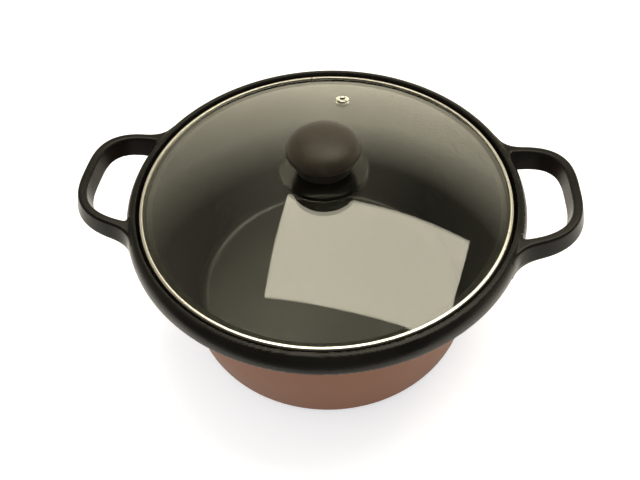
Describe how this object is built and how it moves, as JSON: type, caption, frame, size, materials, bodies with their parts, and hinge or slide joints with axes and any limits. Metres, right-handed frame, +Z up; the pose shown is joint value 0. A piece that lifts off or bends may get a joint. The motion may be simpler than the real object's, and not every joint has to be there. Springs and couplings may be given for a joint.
{
  "type": "fondue pot",
  "caption": "Round tapered pot with a flared black rim ring, loop handles on opposite sides and a lift-off domed glass lid with a round knob.",
  "frame": {"origin": "centre of the foot, on the table top the pot stands on", "axes": "+X through the middle of one handle (the handles lie on +X and -X), +Y away from the side seen in the picture, +Z up along the pot's axis"},
  "size_m": [0.3238, 0.2584, 0.158],
  "materials": {
    "vessel_coat": "satin mauve brown coat on cast aluminium",
    "plain_steel": "brushed",
    "black_plastic": "satin black moulding",
    "lid_glass": "clear tempered glass",
    "bright_steel": "polished steel",
    "clear_pad": "clear soft pad",
    "knob_plastic": "matte black moulding",
    "knob_soft": "soft-touch dark brown",
    "brass": "turned brass",
    "black_rubber": "matte silicone"
  },
  "bodies": {
    "pot": {"pot_vessel": "vessel_coat", "base_disc": "plain_steel", "rim_handle_ring": "black_plastic", "ring_screw_1": "plain_steel", "ring_screw_2": "plain_steel", "ring_screw_3": "plain_steel", "ring_screw_4": "plain_steel"},
    "lid": {"lid_glass": "lid_glass", "lid_steel_band": "bright_steel", "vent_eyelet": "bright_steel", "knob_pad": "clear_pad", "knob_foot": "knob_plastic", "knob_cap": "knob_soft", "knob_insert": "brass", "knob_gasket": "black_rubber", "knob_washer": "plain_steel", "knob_screw": "plain_steel"}
  },
  "joints": [
    {"name": "lid_lift", "type": "slide", "parent": "pot", "child": "lid", "axis": [0, 0, 1], "range_m": [0, 0.15]}
  ]
}
